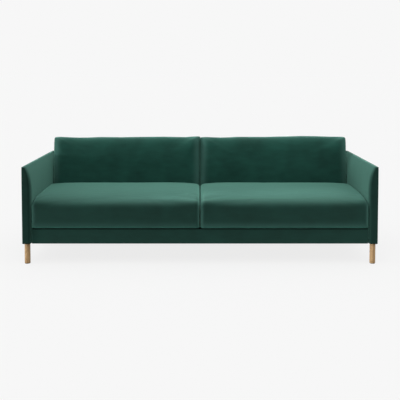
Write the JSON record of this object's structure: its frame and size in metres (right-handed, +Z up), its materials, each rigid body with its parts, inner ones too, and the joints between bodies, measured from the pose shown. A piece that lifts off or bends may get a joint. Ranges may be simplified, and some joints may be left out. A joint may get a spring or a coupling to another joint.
{
  "type": "sofa bed",
  "caption": "Velvet sofa bed with slim fixed arms and back on oak legs; the slatted seat pulls forward on rollers, folding legs carry it and the back cushions lie flat.",
  "frame": {"origin": "on the floor under the middle of the sofa", "axes": "+X along the sofa, to the right of someone who faces it; the sofa's front faces -Y; +Z up"},
  "size_m": [2.36, 0.92, 0.7722],
  "materials": {
    "velvet": "matte",
    "oak": "satin",
    "frame_timber": "matte",
    "slat_wood": "satin",
    "steel": "satin",
    "nylon": "matte"
  },
  "bodies": {
    "shell": {"left_arm_frame": "frame_timber", "right_arm_frame": "frame_timber", "left_arm_cover": "velvet", "right_arm_cover": "velvet", "back_frame": "frame_timber", "back_cover": "velvet", "front_beam": "frame_timber", "rear_ledger": "frame_timber", "left_runner": "steel", "right_runner": "steel", "front_left_leg": "oak", "front_right_leg": "oak", "rear_left_leg": "oak", "rear_right_leg": "oak", "front_left_leg_bolt": "steel", "front_right_leg_bolt": "steel", "rear_left_leg_bolt": "steel", "rear_right_leg_bolt": "steel", "front_left_leg_glide": "nylon", "front_right_leg_glide": "nylon", "rear_left_leg_glide": "nylon", "rear_right_leg_glide": "nylon", "fixed_slat_01": "slat_wood", "fixed_slat_02": "slat_wood", "fixed_slat_03": "slat_wood", "fixed_slat_04": "slat_wood", "fixed_slat_05": "slat_wood", "fixed_slat_06": "slat_wood", "fixed_slat_07": "slat_wood", "fixed_slat_08": "slat_wood", "fixed_slat_09": "slat_wood", "fixed_slat_10": "slat_wood"},
    "pull_out": {"front_rail": "frame_timber", "front_rail_cover": "velvet", "rear_beam": "frame_timber", "left_axle": "steel", "right_axle": "steel", "left_leg_bracket": "steel", "right_leg_bracket": "steel", "left_leg_pin": "steel", "right_leg_pin": "steel", "left_seat_cushion": "velvet", "right_seat_cushion": "velvet", "sliding_slat_01": "slat_wood", "sliding_slat_02": "slat_wood", "sliding_slat_03": "slat_wood", "sliding_slat_04": "slat_wood", "sliding_slat_05": "slat_wood", "sliding_slat_06": "slat_wood", "sliding_slat_07": "slat_wood", "sliding_slat_08": "slat_wood", "sliding_slat_09": "slat_wood"},
    "left_roller": {"left_roller": "nylon"},
    "right_roller": {"right_roller": "nylon"},
    "left_fold_leg": {"left_fold_leg": "oak", "left_fold_glide": "nylon"},
    "right_fold_leg": {"right_fold_leg": "oak", "right_fold_glide": "nylon"},
    "left_back_cushion": {"left_back_cushion": "velvet"},
    "right_back_cushion": {"right_back_cushion": "velvet"}
  },
  "joints": [
    {"name": "bed_pull_out", "type": "slide", "parent": "shell", "child": "pull_out", "axis": [0, -1, 0], "range_m": [0, 0.42]},
    {"name": "left_back_lie_down", "type": "hinge", "parent": "pull_out", "child": "left_back_cushion", "pos_m": [-0.559, 0.25, 0.3403], "axis": [-1, 0, 0], "range_deg": [0, 84]},
    {"name": "right_back_lie_down", "type": "hinge", "parent": "pull_out", "child": "right_back_cushion", "pos_m": [0.559, 0.25, 0.3403], "axis": [-1, 0, 0], "range_deg": [0, 84]},
    {"name": "left_leg_fold", "type": "hinge", "parent": "pull_out", "child": "left_fold_leg", "pos_m": [-0.95, -0.3938, 0.178], "axis": [0, 1, 0], "range_deg": [0, 90]},
    {"name": "right_leg_fold", "type": "hinge", "parent": "pull_out", "child": "right_fold_leg", "pos_m": [0.95, -0.3938, 0.178], "axis": [0, -1, 0], "range_deg": [0, 90]},
    {"name": "left_roller_spin", "type": "hinge", "parent": "pull_out", "child": "left_roller", "pos_m": [-1.1077, 0.2697, 0.1955], "axis": [1, 0, 0], "continuous": true},
    {"name": "right_roller_spin", "type": "hinge", "parent": "pull_out", "child": "right_roller", "pos_m": [1.1077, 0.2697, 0.1955], "axis": [1, 0, 0], "continuous": true}
  ],
  "couplings": [
    {"joint": "left_back_lie_down", "follows": "bed_pull_out", "rad_per_m": 3.4906},
    {"joint": "right_back_lie_down", "follows": "bed_pull_out", "rad_per_m": 3.4906},
    {"joint": "left_roller_spin", "follows": "bed_pull_out", "rad_per_m": 83.333},
    {"joint": "right_roller_spin", "follows": "bed_pull_out", "rad_per_m": 83.333}
  ]
}
